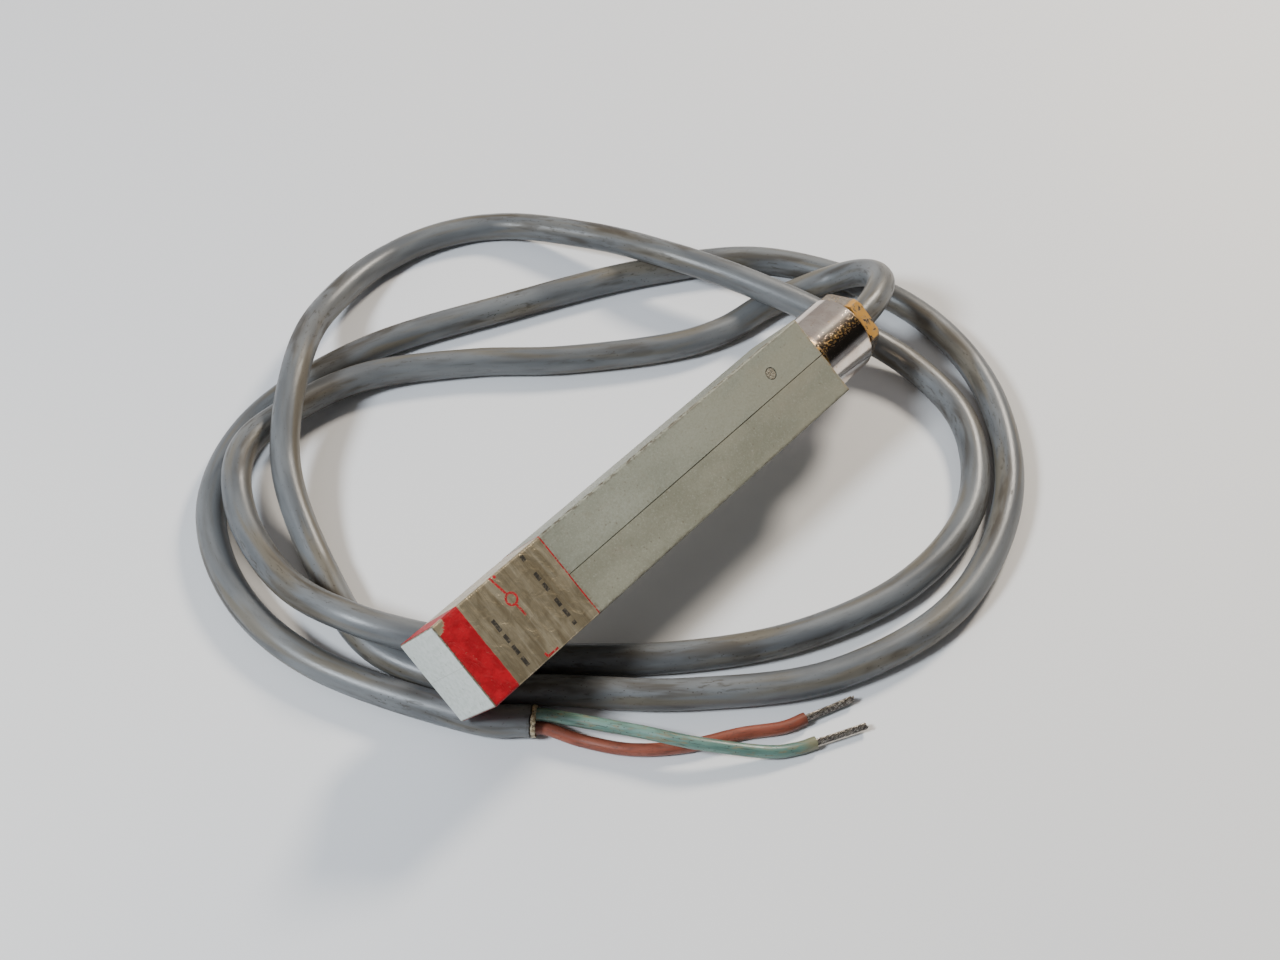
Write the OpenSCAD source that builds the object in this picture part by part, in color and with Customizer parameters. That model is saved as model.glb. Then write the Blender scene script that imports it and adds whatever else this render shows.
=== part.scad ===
// Reed proximity sensor: a square bar casing with a cable gland and a loosely wound two-core cable.
// Millimetres. The origin is the centre of the sensing face, and +X runs along the bar to the gland.
// The bar lies rolled on its own cable. Its pieces are drawn level and rolled together at the end.

/* [Casing] */
// Length of the casing, from the sensing face to the gland's shoulder
casing_l = 101.5; // [95:0.5:130]
// Width of the square casing across the seam
casing_w = 18; // [17:0.5:24]
// Height of the casing along the seam
casing_h = 18; // [17:0.5:24]
// Wall of the two half shells
wall = 2; // [1.4:0.1:2.4]
// Radius of the casing's outer edges
edge_r = 0.5; // [0.2:0.1:1]
// Width of the notch where the two halves meet
seam_notch = 0.22; // [0.1:0.02:0.4]
// How far the bar is rolled about its long axis as it lies on the cable
roll = 34; // [0:1:45]

/* [Fill hole] */
// Diameter of the resin fill hole and its plug
fill_d = 2.6; // [2:0.1:3.2]
// Distance of the fill hole from the rear face
fill_from_rear = 12.8; // [12:0.1:16]
// Offset of the fill hole from the seam
fill_off = 3.8; // [3:0.1:4.5]

/* [Label] */
// Length of the foil label along the bar
label_l = 26.7; // [15:0.1:35]
// Distance of the label's front edge from the sensing face
label_from_front = 0.3; // [0.1:0.1:2]
// Thickness of the foil with its glue
label_t = 0.12; // [0.08:0.01:0.25]

/* [Cable gland] */
// Outer diameter of the gland barrel
barrel_d = 16.8; // [16.2:0.1:17]
// Length of the barrel outside the casing
barrel_l = 13.4; // [12:0.1:20]
// Diameter of the barrel's spigot inside the casing
spigot_d = 13; // [12:0.1:13.4]
// Length of the spigot inside the casing
spigot_l = 8.5; // [7:0.1:10]
// Diameter of the collar that the two halves trap
collar_d = 15; // [14.2:0.1:15.6]
// Width of that collar
collar_w = 2; // [1.5:0.1:2.5]
// Outer diameter of the pressure screw's thread
thread_d = 12.45; // [12:0.05:12.6]
// Thread pitch of the pressure screw
thread_pitch = 1.27; // [1:0.01:1.5]
// Length of the barrel's threaded bore
thread_l = 7; // [6:0.1:9]
// Size across the flats of the screw's hexagon
head_af = 14; // [13:0.1:16]
// Thickness of the hexagon
head_t = 2.9; // [2:0.1:5]
// Gap between the barrel and the hexagon with the gland tight
head_gap = 0.5; // [0.3:0.1:2]
// Angle of the hexagon's first corner
head_turn = 5; // [0:1:59]
// Diameter of the seal chamber
seal_d = 11.2; // [10.6:0.1:11.6]
// Length of the rubber seal when squeezed
seal_l = 5.2; // [4:0.1:6]
// Thickness of the thrust washer
washer_t = 1.2; // [0.8:0.1:1.5]

/* [Reed switch] */
// Outer diameter of the glass tube
glass_d = 5.4; // [5:0.1:5.6]
// Length of the glass tube
glass_l = 50; // [48:0.5:54]
// Wall of the glass tube
glass_wall = 0.6; // [0.4:0.05:0.7]
// Length of the fused glass at each end
glass_seal_l = 3; // [2:0.1:4]
// Diameter of the reed's lead wires
stem_d = 1.2; // [1:0.05:1.3]
// Width of the reed blades
blade_w = 2.4; // [2:0.1:2.8]
// Thickness of the reed blades
blade_t = 0.5; // [0.3:0.05:0.6]
// Length over which the two blades lie above each other
blade_overlap = 3; // [2:0.1:5]
// Open gap between the two contact pads
contact_gap = 0.6; // [0.6:0.05:0.8]
// Thickness of a contact pad
pad_t = 0.3; // [0.15:0.05:0.35]
// Diameter of a contact pad
pad_d = 1.6; // [1:0.1:2]
// Outer diameter of the silicone cushion on the glass
cushion_d = 8; // [7:0.1:8.2]

/* [Cable] */
// Outer diameter of the cable sheath
cable_d = 6.2; // [5.6:0.1:6.4]
// Diameter of an insulated core
core_d = 2.5; // [2:0.1:2.6]
// Diameter of the twisted bare strands
strand_d = 1.4; // [1:0.1:1.6]
// Length of the bare strands
strand_l = 10.5; // [5:0.5:15]

/* [Hidden] */
$fn = 64;

eps = 0.01;                              // overlap of solids that join, and of cuts that meet
over = 1;                                // overshoot of a cut past an open face
slide_fit = 0.05;                        // clearance of pieces that slide, turn or plug together
cable_fit = 0.25;                        // radial clearance of metal round the cable
chamfer = 0.5;                           // chamfer of turned edges
shoulder_chamfer = 0.2;                  // chamfer of the barrel's shoulder against the casing
mouth = 0.8;                             // countersink where the cable leaves the screw
thread_depth = 0.6;                      // depth of the screw's thread
plug_recess = 0.1;                       // the fill plug's depth below the casing's face

// Gland stations along X
collar_in = 1.4;                         // distance of the collar from the spigot's inner end
spigot_x = casing_l - spigot_l;
collar_x = spigot_x + collar_in;
barrel_x = casing_l + barrel_l;
thread_x = barrel_x - thread_l;
seal_x = thread_x - washer_t - slide_fit - seal_l;
washer_x = seal_x + seal_l + slide_fit;
screw_x = washer_x + washer_t + slide_fit;
head_x = barrel_x + head_gap;
head_end_x = head_x + head_t;
cable_bore_d = cable_d + 2 * cable_fit;

// Reed switch stations along X
glass_x = 14;
glass_end_x = glass_x + glass_l;
stem_out = 4.5;                          // bare wire outside the glass
foot_l = 1.2;                            // flattened end of a lead wire inside the glass
glass_taper = 1;                         // rounding of the tube's ends, outside and inside
foot_x = glass_x + glass_seal_l + glass_taper;
root_gap = 0.1;                          // gap between a foot and the blade that swings at it
front_root_x = foot_x + foot_l + root_gap;
rear_root_x = glass_end_x - (front_root_x - glass_x);
blade_mid_x = (front_root_x + rear_root_x) / 2;
blade_l = (rear_root_x - front_root_x + blade_overlap) / 2;
blade_z = contact_gap / 2 + pad_t + blade_t / 2;

// Ribs that hold the reed switch, and the pegs on them
rib_t = 3;
rib_in_front = 6;                        // distances of the ribs from the glass tube's ends
rib_in_rear = 9;
rib_xs = [glass_x + rib_in_front, glass_end_x - rib_in_rear - rib_t];
rib_span = rib_xs[1] + rib_t - rib_xs[0];
wire_fit = 0.1;                          // clearance round the return wire in the ribs
cushion_out = 2;                         // how far the cushion stands out of the ribs
peg_d = 1.8;
peg_l = 2;
peg_root = 0.5;                          // length of a peg sunk in its own rib
peg_web = 0.8;                           // plastic between a peg and the cushion
peg_z = cushion_d / 2 + peg_web + peg_d / 2;
peg_end_gap = 0.2;                       // free depth under a peg's end

// Inner wiring
wire_d = 2;                              // insulated return wire
sleeve_d = 2.8;                          // joint sleeves
sleeve_half_l = 3;
turn_r = 2.6;                            // bend of the return wire at the front
return_y = 2 * turn_r;
turn_x = glass_x - stem_out - sleeve_half_l;
green_joint_x = glass_end_x + stem_out;
joint_step = 3.5;                        // the brown joint's distance behind the green one
brown_joint_x = green_joint_x + joint_step;
sheath_in = 6;                           // sheath inside the casing, before the gland
sheath_x = spigot_x - sheath_in;
core_gap = 0.2;                          // gap between the two cores where they enter the sheath
core_off = (core_d + core_gap) / 2;
potting_cover = 3;                       // resin in front of the sheath
potting_x = sheath_x - potting_cover;

// The cable lies on a level surface, one radius above it
rest_z = -16;
core_rest_z = rest_z - (cable_d - core_d) / 2;
end_l = 2;                               // the short ring of sheath that is cracked loose at the cut end
end_bore_d = 2 * core_d + 2 * core_gap;
cable_sides = 12;
core_sides = 8;
cable_rings = 79;
core_rings = 20;
neck_l = 0.1;                            // free gap between an insulated core and the strands' full width
neck_d = 1;
inner_rings = 12;
cable_route = [
    [118.3, 0, 0], [122, 0, 0], [128, 1, -0.3], [134.8, 4, -2], [139, 8.8, -5.2], [140, 14.4, -9.2],
    [137.6, 19.8, -13.1], [132.2, 24.1, -15.6], [124.3, 26.8, -16], [111.8, 29, -16], [99.5, 35.2, -16],
    [82, 49.5, -16], [68, 64, -16], [51, 76.5, -15.2], [34, 79.8, -13.2], [16.5, 77, -10.6],
    [5.2, 64.4, -11.2], [0, 46, -12], [1.5, 28, -9.4], [9, 13, -10.8], [21, -1, -16], [38, -20, -16],
    [58, -35, -16], [82, -43.5, -16], [106, -41.5, -16], [124, -28, -16], [130.2, -9.6, -15],
    [127.2, 10.8, -11.6], [122.5, 29.8, -9.4], [117.4, 49, -9.2], [113, 70, -12.6], [103, 91.5, -16],
    [81, 102.5, -16], [57.2, 97, -12], [36.5, 82.5, -5.9], [19.2, 67, -10.5], [8.8, 46, -16],
    [2.5, 24, -16], [9.2, 2.6, -16], [19, -9.8, -16], [34, -28, -16], [56, -46, -16], [85, -53.5, -16],
    [115.5, -44.5, -16], [137.8, -22.2, -16], [145.8, 5.5, -16], [136.8, 35.4, -16], [115.2, 54.2, -16],
    [86, 70, -16], [56, 83.5, -16], [27.5, 86, -16], [5.8, 75.5, -16], [-6.8, 54, -16], [-8, 30, -16],
    [3, 0, -16], [9.7, -9.4, -16]
];
green_route = [
    [10.5, -9, -15.1], [12.7, -11.7, -15.1], [16, -18, -14.8], [21, -27, -14.6], [26, -36.5, -14.6],
    [34, -46, -17], [38.6, -49.6, -17.8], [42.2, -51.6, -17.8]
];
brown_route = [
    [9.1, -10.2, -16.9], [11.3, -12.9, -17], [14, -19, -17.8], [18.5, -27, -17.8], [25.5, -34, -17.8],
    [34.5, -40, -17.8], [40.6, -44.9, -17.8], [45, -46.9, -17.8]
];

// ---- curves and tubes ----

// A smooth curve through four neighbouring points, at t from 0 to 1 between the middle two
function between(p, q, r, s, t) =
    0.5 * (2 * q + (r - p) * t + (2 * p - 5 * q + 4 * r - s) * t * t + (3 * q - p - 3 * r + s) * t * t * t);

// The point at u along a route, counted in its points, never under the lowest allowed height
function on_route(route, u, low) =
    let (
        last = len(route) - 1,
        i = min(floor(u), last - 1),
        before = i > 0 ? route[i - 1] : 2 * route[0] - route[1],
        after = i + 2 <= last ? route[i + 2] : 2 * route[last] - route[last - 1],
        p = between(before, route[i], route[i + 1], after, u - i)
    )
    [p[0], p[1], max(p[2], low)];

function unit(v) = v / norm(v);

// The direction in which a tube of so many rings arrives at its far end
function end_dir(route, rings, low) =
    let (last = len(route) - 1)
    unit(on_route(route, last, low) - on_route(route, last * (rings - 2) / (rings - 1), low));

// The ring of a tube at one point, square to the direction of travel
function ring(centre, dir, d, sides) =
    let (side = unit(cross(dir, [0, 0, 1])), up = cross(side, dir))
    [for (j = [0:sides - 1]) centre + d / 2 * (cos(360 * j / sides) * side + sin(360 * j / sides) * up)];

// A closed tube swept along a route. The first ring can face a given direction
module swept_tube(route, d, sides, rings, low, first_dir) {
    last = len(route) - 1;
    centres = [for (i = [0:rings - 1]) on_route(route, last * i / (rings - 1), low)];
    dirs = [for (i = [0:rings - 1])
        i == 0 ? unit(first_dir) : unit(centres[min(i + 1, rings - 1)] - centres[i - 1])];
    points = [for (i = [0:rings - 1]) each ring(centres[i], dirs[i], d, sides)];
    skin = [for (i = [0:rings - 2], j = [0:sides - 1])
        let (a = i * sides + j, b = i * sides + (j + 1) % sides)
        each [[a, b, b + sides], [a, b + sides, a + sides]]];
    start = [for (j = [0:sides - 1]) sides - 1 - j];
    end = [for (j = [0:sides - 1]) (rings - 1) * sides + j];
    polyhedron(points = points, faces = concat([start], skin, [end]));
}

// Points a shape drawn along +Z in a given direction from a place
module aimed(place, dir) {
    translate(place) rotate([0, acos(dir[2]), atan2(dir[1], dir[0])]) children();
}

// Points a shape drawn along +Z away from the far end of a swept tube
module at_end(route, rings, low) {
    aimed(on_route(route, len(route) - 1, low), end_dir(route, rings, low)) children();
}

// The bare twisted strands at the end of a core
module strands(route) {
    at_end(route, core_rings, core_rest_z) {
        cylinder(h = neck_l, d = neck_d, $fn = 32);
        translate([0, 0, neck_l]) cylinder(h = strand_l - neck_l, d = strand_d, $fn = 32);
    }
}

// ---- shared solids, all drawn level ----

module rolled() { rotate([roll, 0, 0]) children(); }

// A round bar along X
module bar(x, length, d) { translate([x, 0, 0]) rotate([0, 90, 0]) cylinder(h = length, d = d); }

// A turned piece along X, from its outline as [radius, x]
module turned(outline) { rotate([0, 90, 0]) rotate_extrude() polygon(outline); }

module rounded_rect(w, h, r) {
    square([w - 2 * r, h], center = true);
    square([w, h - 2 * r], center = true);
    for (x = [-1, 1], y = [-1, 1]) translate([x * (w / 2 - r), y * (h / 2 - r)]) circle(r = r);
}

// A rounded bar along X from x, with its section centred on the axis
module rounded_bar(x, length, w, h, r) {
    translate([x, 0, 0]) rotate([90, 0, 90]) linear_extrude(length) rounded_rect(w, h, r);
}

// The casing's outer shape, rounded on every edge
module casing_block() {
    intersection() {
        rounded_bar(0, casing_l, casing_w, casing_h, edge_r);
        translate([casing_l / 2, 0, 0]) linear_extrude(2 * casing_h, center = true)
            rounded_rect(casing_l, casing_w, edge_r);
        translate([casing_l / 2, 0, 0]) rotate([90, 0, 0]) linear_extrude(2 * casing_w, center = true)
            rounded_rect(casing_l, casing_h, edge_r);
    }
}

// A stretch of the cavity between two stations
module cavity(x0, x1) {
    translate([x0, -casing_w / 2 + wall, -casing_h / 2 + wall])
        cube([x1 - x0, casing_w - 2 * wall, casing_h - 2 * wall]);
}

// Everything that is hollow inside the closed casing
module casing_hollow() {
    cavity(wall, rib_xs[0]);
    cavity(rib_xs[0] + rib_t, rib_xs[1]);
    cavity(rib_xs[1] + rib_t, spigot_x);
    bar(rib_xs[0] - eps, rib_span + 2 * eps, cushion_d);
    for (x = rib_xs) translate([x - eps, 0, -wire_d / 2 - wire_fit])
        cube([rib_t + 2 * eps, return_y + wire_d / 2 + wire_fit, wire_d + 2 * wire_fit]);
    bar(spigot_x - eps, spigot_l + over, spigot_d + 2 * slide_fit);
    bar(collar_x - slide_fit, collar_w + 2 * slide_fit, collar_d + 2 * slide_fit);
}

// The notch that shows as a fine seam along the casing and across its rear face
module seam() {
    for (z = [-1, 1]) translate([casing_l / 2, 0, z * casing_h / 2]) rotate([45, 0, 0])
        cube([casing_l + over, seam_notch, seam_notch], center = true);
    translate([casing_l, 0, 0]) rotate([0, 0, 45])
        cube([seam_notch, seam_notch, casing_h + over], center = true);
}

module pegs(d, length) {
    for (x = rib_xs, z = [-1, 1]) translate([x + rib_t / 2, 0, z * peg_z]) rotate([90, 0, 0])
        cylinder(h = length, d = d, $fn = 32);
}

module fill_hole(length) {
    translate([casing_l - fill_from_rear, fill_off, casing_h / 2 - length])
        cylinder(h = length + over, d = fill_d, $fn = 48);
}

// The foil lies flush, in a recess of its own thickness that runs out at the front
module foil_bed(x, length) {
    r = max(edge_r - label_t, label_t / 2);
    rounded_bar(x, length, casing_w - 2 * label_t, casing_h - 2 * label_t, r);
}

module label_recess() {
    difference() {
        translate([-over, -casing_w, -casing_h])
            cube([over + label_from_front + label_l, 2 * casing_w, 2 * casing_h]);
        foil_bed(-2 * over, casing_l);
    }
}

// One half of the casing: side is 1 for the left half and -1 for the right
module casing_half(side) {
    difference() {
        casing_block();
        translate([-over, side > 0 ? -casing_w : 0, -casing_h])
            cube([casing_l + 2 * over, casing_w, 2 * casing_h]);
        casing_hollow();
        label_recess();
        seam();
        if (side > 0) fill_hole(wall + over);
        if (side < 0) translate([0, eps, 0]) pegs(peg_d + 2 * slide_fit, peg_l + peg_end_gap);
    }
}

// One core inside the casing, from its joint at x0 and y0 to its place y1 in the sheath
module inner_core(x0, y0, y1) {
    third = (potting_x - x0) / 3;
    swept_tube(
        [[x0, y0, 0], [x0 + third, y0, 0], [potting_x - third, y1, 0], [potting_x, y1, 0], [sheath_x, y1, 0]],
        core_d, core_sides, inner_rings, -casing_h, [1, 0, 0]
    );
}

// The return wire's path: from the front joint, round a half turn, and back along the glass
module return_path(x0, x1, d) {
    if (x0 > turn_x) bar(turn_x, x0 - turn_x, d);
    translate([turn_x, turn_r, 0]) rotate([0, 0, 90]) rotate_extrude(angle = 180)
        translate([turn_r, 0]) circle(d = d, $fn = 32);
    translate([0, return_y, 0]) bar(turn_x, x1 - turn_x, d);
}

// A lead wire that passes through the glass and ends in a flat foot. It is drawn for the front end
module reed_stem() {
    bar(glass_x - stem_out, foot_x - glass_x + stem_out + eps, stem_d);
    translate([foot_x, -blade_w / 2, -stem_d / 2])
        cube([foot_l, blade_w, stem_d / 2 + blade_z + blade_t / 2]);
}

// A blade from its root towards the middle, above the axis
module reed_blade() {
    translate([front_root_x, -blade_w / 2, blade_z - blade_t / 2]) cube([blade_l, blade_w, blade_t]);
}

module contact_pad() {
    translate([blade_mid_x, 0, contact_gap / 2]) cylinder(h = pad_t, d = pad_d, $fn = 32);
}

// Turns a front reed piece into the rear one
module to_rear_end() { translate([2 * blade_mid_x, 0, 0]) rotate([0, 180, 0]) children(); }

module joint_sleeve(x) {
    difference() {
        bar(x - sleeve_half_l, 2 * sleeve_half_l, sleeve_d);
        bar(x - sleeve_half_l - over, 2 * (sleeve_half_l + over), stem_d);
    }
}

// ---- the pieces ----

module casing_left() {
    color([0.60, 0.61, 0.55]) rolled() {
        casing_half(1);
        translate([0, peg_root, 0]) pegs(peg_d, peg_l + peg_root);
    }
}

module casing_right() { color([0.58, 0.59, 0.53]) rolled() casing_half(-1); }

module fill_plug() {
    color([0.45, 0.45, 0.42]) rolled() translate([casing_l - fill_from_rear, fill_off, casing_h / 2 - wall])
        cylinder(h = wall - plug_recess, d = fill_d, $fn = 48);
}

module foil_label() {
    color([0.62, 0.57, 0.47]) rolled() difference() {
        rounded_bar(label_from_front, label_l, casing_w, casing_h, edge_r);
        foil_bed(label_from_front - over, label_l + 2 * over);
    }
}

module gland_barrel() {
    r = barrel_d / 2;
    color([0.66, 0.62, 0.55]) rolled() turned([
        [cable_bore_d / 2, spigot_x], [spigot_d / 2, spigot_x], [spigot_d / 2, collar_x],
        [collar_d / 2, collar_x], [collar_d / 2, collar_x + collar_w], [spigot_d / 2, collar_x + collar_w],
        [spigot_d / 2, casing_l], [r - shoulder_chamfer, casing_l], [r, casing_l + shoulder_chamfer],
        [r, barrel_x - chamfer], [r - chamfer, barrel_x], [thread_d / 2 + slide_fit, barrel_x],
        [thread_d / 2 + slide_fit, thread_x], [seal_d / 2, thread_x], [seal_d / 2, seal_x],
        [cable_bore_d / 2, seal_x]
    ]);
}

module gland_seal() {
    color([0.12, 0.12, 0.12]) rolled() difference() {
        bar(seal_x, seal_l, seal_d);
        bar(seal_x - over, seal_l + 2 * over, cable_d);
    }
}

module thrust_washer() {
    color([0.70, 0.56, 0.30]) rolled() difference() {
        bar(washer_x, washer_t, seal_d - 2 * slide_fit);
        bar(washer_x - over, washer_t + 2 * over, cable_bore_d);
    }
}

module pressure_screw() {
    crest = thread_d / 2;
    root = crest - thread_depth;
    turns = floor((head_x - screw_x - thread_depth) / thread_pitch);
    shank = [
        [cable_bore_d / 2, screw_x], [root, screw_x],
        for (i = [0:turns - 1]) each [
            [root, screw_x + (i + 0.15) * thread_pitch], [crest, screw_x + (i + 0.4) * thread_pitch],
            [crest, screw_x + (i + 0.6) * thread_pitch], [root, screw_x + (i + 1) * thread_pitch]
        ],
        [root, head_x + eps], [cable_bore_d / 2, head_x + eps]
    ];
    corner_r = head_af / sqrt(3);
    color([0.68, 0.60, 0.45]) rolled() {
        turned(shank);
        difference() {
            intersection() {
                translate([head_x, 0, 0]) rotate([0, 90, 0]) rotate([0, 0, 90 + head_turn])
                    cylinder(h = head_t, r = corner_r, $fn = 6);
                turned([
                    [0, head_x], [corner_r + over, head_x], [corner_r + over, head_end_x - chamfer - over],
                    [corner_r - chamfer, head_end_x], [0, head_end_x]
                ]);
            }
            bar(head_x - over, head_t + 2 * over, cable_bore_d);
            translate([head_end_x - mouth, 0, 0]) rotate([0, 90, 0])
                cylinder(h = mouth + eps, d1 = cable_bore_d, d2 = cable_bore_d + 2 * mouth);
        }
    }
}

module potting() {
    color([0.20, 0.19, 0.17]) rolled() difference() {
        cavity(potting_x, spigot_x);
        bar(sheath_x, sheath_in + over, cable_d);
        for (y = [-core_off, core_off]) translate([0, y, 0])
            bar(potting_x - over, potting_cover + 2 * over, core_d);
    }
}

module reed_glass() {
    r = glass_d / 2;
    bore = r - glass_wall;
    color([0.75, 0.85, 0.80, 0.4]) rolled() difference() {
        turned([
            [0, glass_x], [r - glass_taper, glass_x], [r, glass_x + glass_taper],
            [r, glass_end_x - glass_taper], [r - glass_taper, glass_end_x], [0, glass_end_x]
        ]);
        turned([
            [0, glass_x + glass_seal_l], [bore - glass_taper, glass_x + glass_seal_l], [bore, foot_x],
            [bore, 2 * blade_mid_x - foot_x], [bore - glass_taper, glass_end_x - glass_seal_l],
            [0, glass_end_x - glass_seal_l]
        ]);
        bar(glass_x - over, glass_l + 2 * over, stem_d);
    }
}

module reed_cushion() {
    color([0.80, 0.78, 0.72]) rolled() difference() {
        bar(rib_xs[0] - cushion_out, rib_span + 2 * cushion_out, cushion_d);
        bar(rib_xs[0] - cushion_out - over, rib_span + 2 * (cushion_out + over), glass_d);
    }
}

module reed_stem_front() { color([0.70, 0.70, 0.68]) rolled() reed_stem(); }
module reed_stem_rear() { color([0.70, 0.70, 0.68]) rolled() to_rear_end() reed_stem(); }
module reed_blade_front() { color([0.75, 0.75, 0.72]) rolled() reed_blade(); }
module reed_blade_rear() { color([0.75, 0.75, 0.72]) rolled() to_rear_end() reed_blade(); }
module contact_pad_front() { color([0.50, 0.50, 0.52]) rolled() contact_pad(); }
module contact_pad_rear() { color([0.50, 0.50, 0.52]) rolled() to_rear_end() contact_pad(); }

module joint_sleeve_front() { color([0.15, 0.15, 0.15]) rolled() joint_sleeve(glass_x - stem_out); }
module joint_sleeve_green() { color([0.15, 0.15, 0.15]) rolled() joint_sleeve(green_joint_x); }
module joint_sleeve_brown() {
    color([0.15, 0.15, 0.15]) rolled() translate([0, return_y, 0]) joint_sleeve(brown_joint_x);
}

module return_wire() {
    color([0.85, 0.84, 0.80]) rolled() difference() {
        return_path(turn_x, brown_joint_x - sleeve_half_l, wire_d);
        return_path(glass_x - stem_out, brown_joint_x, stem_d);
    }
}

module return_conductor() {
    color([0.78, 0.72, 0.62]) rolled() return_path(glass_x - stem_out, brown_joint_x, stem_d);
}

module inner_core_green() {
    color([0.51, 0.67, 0.63]) rolled() inner_core(green_joint_x + sleeve_half_l, 0, -core_off);
}

module inner_core_brown() {
    color([0.59, 0.33, 0.25]) rolled() inner_core(brown_joint_x + sleeve_half_l, return_y, core_off);
}

module inner_conductor_green() {
    color([0.78, 0.72, 0.62]) rolled() bar(green_joint_x, sleeve_half_l, stem_d);
}

module inner_conductor_brown() {
    color([0.78, 0.72, 0.62]) rolled() translate([0, return_y, 0]) bar(brown_joint_x, sleeve_half_l, stem_d);
}

module sheath_inner() { color([0.55, 0.58, 0.60]) rolled() bar(sheath_x, head_end_x - sheath_x, cable_d); }

module cable_sheath() {
    color([0.55, 0.58, 0.60]) swept_tube(cable_route, cable_d, cable_sides, cable_rings, rest_z, [1, 0, 0]);
}

module sheath_end() {
    color([0.55, 0.58, 0.60]) at_end(cable_route, cable_rings, rest_z) difference() {
        cylinder(h = end_l, d = cable_d);
        translate([0, 0, -over]) cylinder(h = end_l + 2 * over, d = end_bore_d);
    }
}
module core_green() {
    color([0.51, 0.67, 0.63])
        swept_tube(green_route, core_d, core_sides, core_rings, core_rest_z, green_route[1] - green_route[0]);
}
module core_brown() {
    color([0.59, 0.33, 0.25])
        swept_tube(brown_route, core_d, core_sides, core_rings, core_rest_z, brown_route[1] - brown_route[0]);
}
module strands_green() { color([0.65, 0.64, 0.62]) strands(green_route); }
module strands_brown() { color([0.65, 0.64, 0.62]) strands(brown_route); }

casing_left();
casing_right();
fill_plug();
foil_label();
gland_barrel();
gland_seal();
thrust_washer();
pressure_screw();
potting();
reed_glass();
reed_cushion();
reed_stem_front();
reed_stem_rear();
reed_blade_front();
reed_blade_rear();
contact_pad_front();
contact_pad_rear();
joint_sleeve_front();
joint_sleeve_green();
joint_sleeve_brown();
return_wire();
return_conductor();
inner_core_green();
inner_core_brown();
inner_conductor_green();
inner_conductor_brown();
sheath_inner();
cable_sheath();
sheath_end();
core_green();
core_brown();
strands_green();
strands_brown();
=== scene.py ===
# Visual model of the bar-shaped reed proximity switch: camera, cords, pieces, materials, lights.
import math

import bmesh
import bpy
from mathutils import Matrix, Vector, noise


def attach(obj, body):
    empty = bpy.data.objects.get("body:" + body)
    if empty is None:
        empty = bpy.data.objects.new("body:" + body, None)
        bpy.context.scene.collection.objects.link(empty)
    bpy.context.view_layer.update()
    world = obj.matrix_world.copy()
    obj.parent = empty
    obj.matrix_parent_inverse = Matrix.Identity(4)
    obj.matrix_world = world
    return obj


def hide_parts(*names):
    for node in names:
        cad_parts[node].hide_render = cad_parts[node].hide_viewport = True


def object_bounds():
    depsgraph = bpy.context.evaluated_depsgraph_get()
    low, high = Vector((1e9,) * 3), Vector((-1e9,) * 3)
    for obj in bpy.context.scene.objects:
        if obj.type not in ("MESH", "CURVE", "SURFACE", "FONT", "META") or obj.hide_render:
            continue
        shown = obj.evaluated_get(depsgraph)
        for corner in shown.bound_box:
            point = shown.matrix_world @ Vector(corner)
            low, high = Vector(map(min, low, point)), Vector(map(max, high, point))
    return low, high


MM = 0.001
ROLL = math.radians(34)  # the bar lies rolled about its length
FLOOR_Z = -0.0191

# The bar, in millimetres, in its own level frame
CASING_L = 101.5
CASING_HALF = 9.0
EDGE_R = 0.5
BARREL_END = CASING_L + 13.4
HEAD_AT = BARREL_END + 0.5  # the gap ahead of the screw's head ends here
LABEL_FROM = 0.3
LABEL_TO = 27.0
LABEL_DEEP = 0.115
PLUG_X = CASING_L - 12.8
PLUG_Y = 3.8
PLUG_R = 1.29
PLUG_TOP = 8.93
PLUG_FOOT = 7.1

# The cable and its cores, in metres
CABLE_R = 0.0031
CORE_R = 0.00125
WIRE_R = 0.00014
REST_Z = -0.016  # the lowest that the cable's middle lies
CORE_REST_Z = -0.01785
RING_LEN = 0.002
RING_HOLE_R = 0.00265
CUT_AT = 0.0009  # the crack, from where the ring starts
STRAND_L = 0.0104
STRAND_ROOT = 0.0004  # how far the wires reach back into the core

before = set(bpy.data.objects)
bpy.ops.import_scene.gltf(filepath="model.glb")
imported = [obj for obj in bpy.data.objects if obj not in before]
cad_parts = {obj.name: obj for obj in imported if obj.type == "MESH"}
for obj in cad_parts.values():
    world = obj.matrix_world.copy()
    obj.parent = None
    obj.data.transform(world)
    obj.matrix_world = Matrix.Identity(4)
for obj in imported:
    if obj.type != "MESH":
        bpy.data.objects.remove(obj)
cad_lo, cad_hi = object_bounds()
scene = bpy.context.scene


# ---- camera ----

def make_camera(place, looks_down, heading, lens):
    """The view's camera, with its downward tilt and its heading in degrees."""
    data = bpy.data.cameras.new("camera")
    data.lens = lens
    data.sensor_width = 36
    data.clip_start = 0.01
    camera = bpy.data.objects.new("camera", data)
    camera.location = place
    camera.rotation_euler = (math.radians(90 - looks_down), 0, math.radians(heading))
    scene.collection.objects.link(camera)
    scene.camera = camera


make_camera((-0.11379, -0.14611, 0.26423), 49.23, -48.58, 50.65)


# ---- routes of the cable and its two cores, in metres ----

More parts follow.
